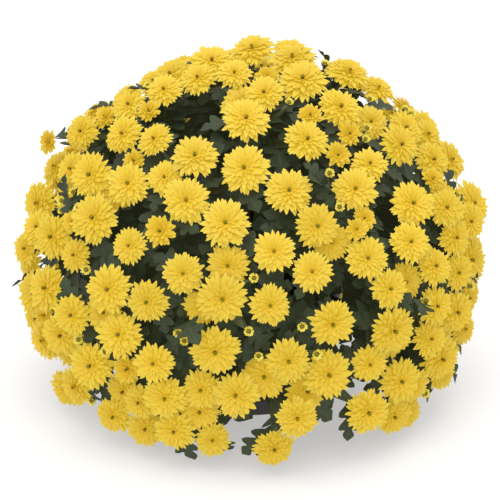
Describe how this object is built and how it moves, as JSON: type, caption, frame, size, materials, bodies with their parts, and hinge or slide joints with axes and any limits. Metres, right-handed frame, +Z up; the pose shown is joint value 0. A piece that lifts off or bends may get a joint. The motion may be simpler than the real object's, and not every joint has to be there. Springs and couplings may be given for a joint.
{
  "type": "pot chrysanthemum",
  "caption": "Garden chrysanthemum in full bloom: a wide dome of double yellow flowers on leafy branches, growing from a plain nursery pot.",
  "frame": {"origin": "centre of the pot's base, on the surface that the pot stands on", "axes": "+Z up along the pot's axis; -Y is the side that the picture shows, with +X to its right"},
  "size_m": [0.473, 0.4575, 0.3595],
  "materials": {
    "pot_black": "matt, moulded",
    "soil_brown": "loose peat, dry on top",
    "bark_brown": "woody stem, matt",
    "leaf_green": "matt, finely hairy leaf",
    "petal_yellow": "satin petal"
  },
  "bodies": {
    "root": {"nursery_pot": "pot_black", "potting_soil": "soil_brown", "crown": "bark_brown", "leafy_branch_01": "leaf_green", "leafy_branch_02": "leaf_green", "leafy_branch_03": "leaf_green", "leafy_branch_04": "leaf_green", "leafy_branch_05": "leaf_green", "leafy_branch_06": "leaf_green", "leafy_branch_07": "leaf_green", "leafy_branch_08": "leaf_green", "leafy_branch_09": "leaf_green", "leafy_branch_10": "leaf_green", "leafy_branch_11": "leaf_green", "leafy_branch_12": "leaf_green", "leafy_branch_13": "leaf_green", "leafy_branch_14": "leaf_green", "leafy_branch_15": "leaf_green", "leafy_branch_16": "leaf_green", "leafy_branch_17": "leaf_green", "leafy_branch_18": "leaf_green", "leafy_branch_19": "leaf_green", "leafy_branch_20": "leaf_green", "leafy_branch_21": "leaf_green", "leafy_branch_22": "leaf_green", "leafy_branch_23": "leaf_green", "leafy_branch_24": "leaf_green", "leafy_branch_25": "leaf_green", "leafy_branch_26": "leaf_green", "leafy_branch_27": "leaf_green", "leafy_branch_28": "leaf_green", "flower_spray_01": "petal_yellow", "flower_spray_02": "petal_yellow", "flower_spray_03": "petal_yellow", "flower_spray_04": "petal_yellow", "flower_spray_05": "petal_yellow", "flower_spray_06": "petal_yellow", "flower_spray_07": "petal_yellow", "flower_spray_08": "petal_yellow", "flower_spray_09": "petal_yellow", "flower_spray_10": "petal_yellow", "flower_spray_11": "petal_yellow", "flower_spray_12": "petal_yellow", "flower_spray_13": "petal_yellow", "flower_spray_14": "petal_yellow", "flower_spray_15": "petal_yellow", "flower_spray_16": "petal_yellow", "flower_spray_17": "petal_yellow", "flower_spray_18": "petal_yellow", "flower_spray_19": "petal_yellow", "flower_spray_20": "petal_yellow", "flower_spray_21": "petal_yellow", "flower_spray_22": "petal_yellow", "flower_spray_23": "petal_yellow", "flower_spray_24": "petal_yellow", "flower_spray_25": "petal_yellow", "flower_spray_26": "petal_yellow", "flower_spray_27": "petal_yellow", "flower_spray_28": "petal_yellow"}
  },
  "joints": []
}
